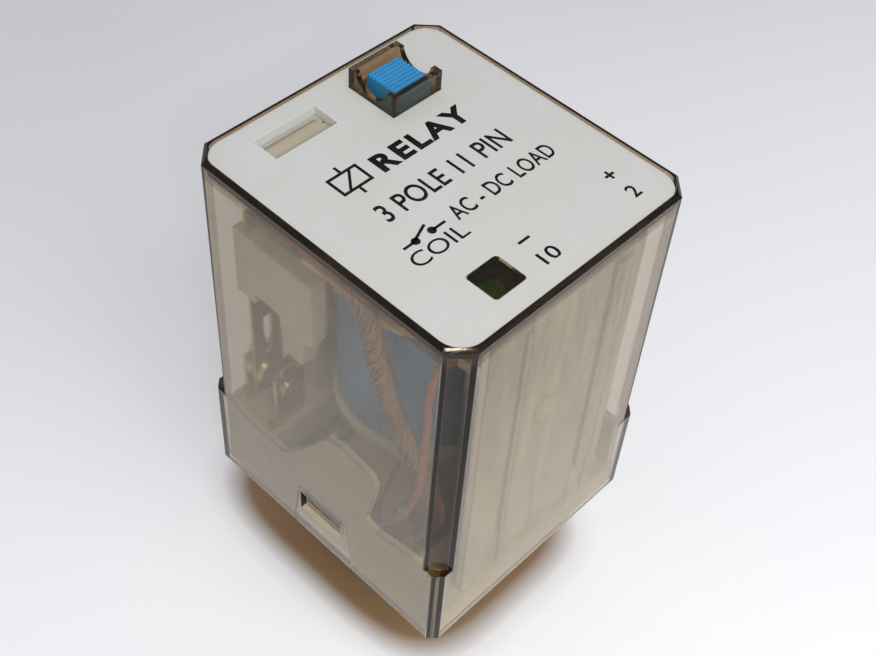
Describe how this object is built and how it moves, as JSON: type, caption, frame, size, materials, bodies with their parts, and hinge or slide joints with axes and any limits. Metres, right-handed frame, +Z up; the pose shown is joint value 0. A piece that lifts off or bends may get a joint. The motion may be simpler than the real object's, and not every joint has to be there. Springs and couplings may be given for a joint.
{
  "type": "plug-in industrial control relay",
  "caption": "Plug-in control relay in a clear smoke-tinted cover, with a round keyed pin base, coil, hinged armature, changeover contacts, push test button, flag indicator and lamp.",
  "frame": {"origin": "centre of the cover's plan at the tip of the plug's centre spigot, where the relay stands", "axes": "+Z up through the cover's top, from the plug to the label; +X across the narrower side, in the direction the label is read; +Y across the deeper side, from the coil pins' side towards the test button and the contacts"},
  "size_m": [0.0324, 0.036, 0.066],
  "materials": {
    "smoke_cover": "clear smoke-tinted plastic, polished",
    "label_white": "warm white, fine satin",
    "ivory_base": "moulded ivory, satin",
    "ivory_parts": "moulded ivory, satin",
    "pin_nickel": "nickel-plated, bright",
    "plated_iron": "zinc-plated iron, satin",
    "copper_wire": "enamelled copper wire",
    "coil_tape_blue": "blue insulating tape",
    "blade_brass": "rolled brass strip",
    "contact_silver": "silver alloy, satin",
    "spring_steel": "drawn spring wire",
    "copper_braid": "bare stranded copper braid",
    "lead_insulation": "thin brown insulation",
    "module_board": "brown laminate board",
    "led_green": "tinted clear resin",
    "resistor_body": "beige lacquer",
    "diode_body": "black moulding",
    "button_blue": "blue, ribbed, satin",
    "flag_beige": "beige moulding, satin",
    "print_black": "black pad print on the label plate"
  },
  "bodies": {
    "housing": {"cover": "smoke_cover", "label_plate": "label_white", "base": "ivory_base", "contact_block": "ivory_base", "bobbin": "ivory_parts", "module_holder": "ivory_parts", "pin_01": "pin_nickel", "pin_02": "pin_nickel", "pin_03": "pin_nickel", "pin_04": "pin_nickel", "pin_05": "pin_nickel", "pin_06": "pin_nickel", "pin_07": "pin_nickel", "pin_08": "pin_nickel", "pin_09": "pin_nickel", "pin_10": "pin_nickel", "pin_11": "pin_nickel", "yoke": "plated_iron", "core": "plated_iron", "coil_winding": "copper_wire", "coil_lead_a": "copper_wire", "coil_lead_b": "copper_wire", "coil_tape": "coil_tape_blue", "nc_blade_1": "blade_brass", "nc_blade_2": "blade_brass", "nc_blade_3": "blade_brass", "no_blade_1": "blade_brass", "no_blade_2": "blade_brass", "no_blade_3": "blade_brass", "common_terminal_1": "blade_brass", "common_terminal_2": "blade_brass", "common_terminal_3": "blade_brass", "coil_terminal_a": "blade_brass", "coil_terminal_b": "blade_brass", "fixed_contacts": "contact_silver", "return_spring": "spring_steel", "braid_1": "copper_braid", "braid_2": "copper_braid", "braid_3": "copper_braid", "board_lead_a": "lead_insulation", "board_lead_b": "lead_insulation", "module_board": "module_board", "status_led": "led_green", "module_resistor": "resistor_body", "module_diode": "diode_body"},
    "armature": {"armature": "plated_iron", "contact_carrier": "ivory_parts", "moving_spring_1": "blade_brass", "moving_spring_2": "blade_brass", "moving_spring_3": "blade_brass", "moving_contacts": "contact_silver", "carrier_rivets": "plated_iron"},
    "test_button": {"test_button": "button_blue"},
    "indicator_flag": {"indicator_flag": "flag_beige"}
  },
  "joints": [
    {"name": "armature_pivot", "type": "hinge", "parent": "housing", "child": "armature", "pos_m": [0, -0.0118, 0.0542], "axis": [-1, 0, 0], "range_deg": [0, 3.5], "stiffness_Nm_per_rad": 0.05, "springref_deg": -5.73, "deforming": ["return_spring"]},
    {"name": "test_button_slide", "type": "slide", "parent": "housing", "child": "test_button", "axis": [0, 0, -1], "range_m": [0, 0.0015]},
    {"name": "indicator_flag_pivot", "type": "hinge", "parent": "housing", "child": "indicator_flag", "pos_m": [-0.00653, 0.01342, 0.0602], "axis": [1, 0, 0], "range_deg": [0, 22.5]}
  ],
  "couplings": [
    {"joint": "test_button_slide", "follows": "armature_pivot", "m_per_rad": 0.0236},
    {"joint": "indicator_flag_pivot", "follows": "armature_pivot", "ratio": 6.35}
  ]
}
